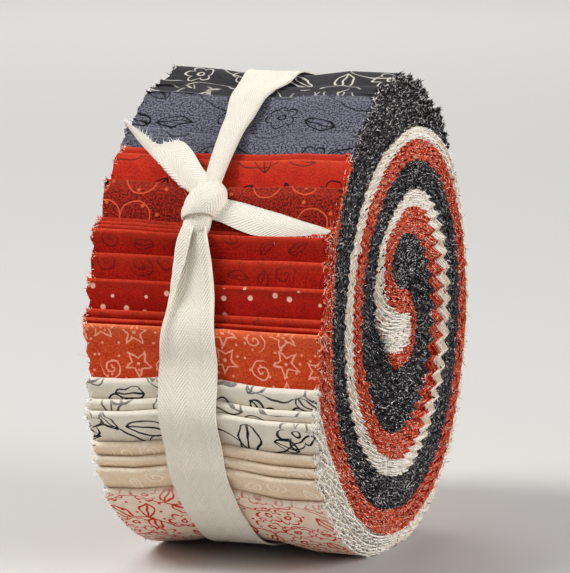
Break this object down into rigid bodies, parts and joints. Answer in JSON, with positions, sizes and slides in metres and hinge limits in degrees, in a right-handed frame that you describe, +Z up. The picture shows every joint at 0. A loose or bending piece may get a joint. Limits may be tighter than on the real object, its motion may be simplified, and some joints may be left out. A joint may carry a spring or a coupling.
{
  "type": "fabric strip roll",
  "caption": "Roll of folded, pinked cotton fabric strips wound into a spiral and tied round its middle with a knotted cotton tape.",
  "frame": {"origin": "on the surface that the roll stands on, under the middle of its bounding box", "axes": "+X along the roll's axis, +Z up, -Y towards the front, where the folded ends and the knot are"},
  "size_m": [0.0636, 0.1342, 0.1289],
  "materials": {
    "cotton_print": "matte",
    "cotton_tape": "matte"
  },
  "bodies": {
    "root": {"wound_strips": "cotton_print", "tape_tie": "cotton_tape"}
  },
  "joints": []
}
